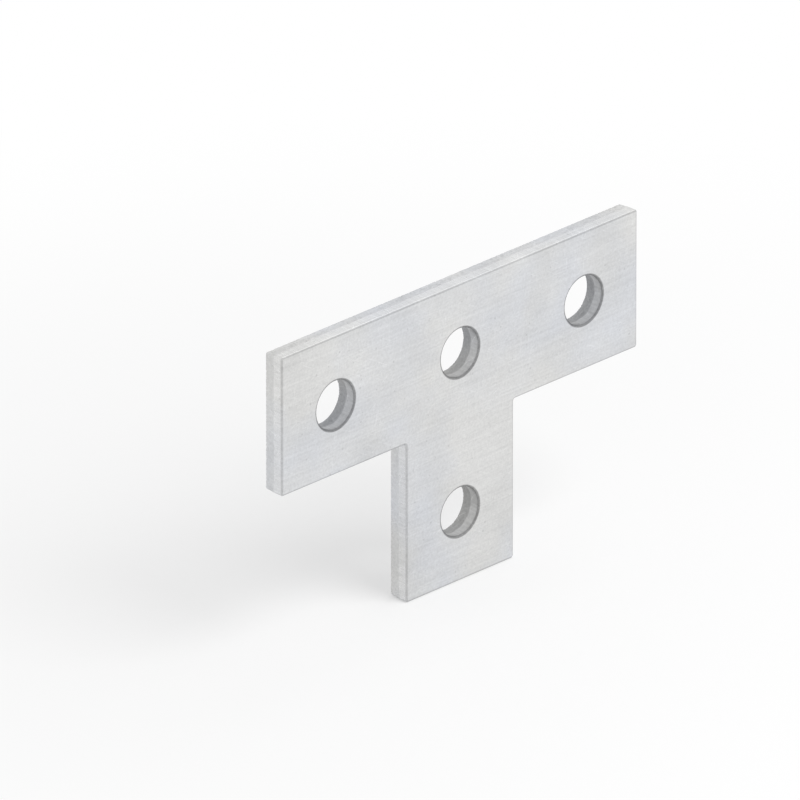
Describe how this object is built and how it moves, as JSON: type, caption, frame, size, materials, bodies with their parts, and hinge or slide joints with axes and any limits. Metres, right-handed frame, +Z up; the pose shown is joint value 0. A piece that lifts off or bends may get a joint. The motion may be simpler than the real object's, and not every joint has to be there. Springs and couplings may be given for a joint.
{
  "type": "t plate bracket",
  "caption": "Flat T-shaped steel plate with round bolt holes along its bar and one in its stem, for joining framing channels at a right angle.",
  "frame": {"origin": "where the axis of the bar's middle hole meets the back face, the face that seats on the channels", "axes": "+X along the bar, +Y out of the back face into the channels, +Z up, from the stem to the bar, as the plate is fixed"},
  "size_m": [0.1366, 0.0063, 0.0889],
  "materials": {
    "zinc_plate": "electroplated zinc on hot-rolled steel, satin light grey"
  },
  "bodies": {
    "root": {"t_plate": "zinc_plate"}
  },
  "joints": []
}
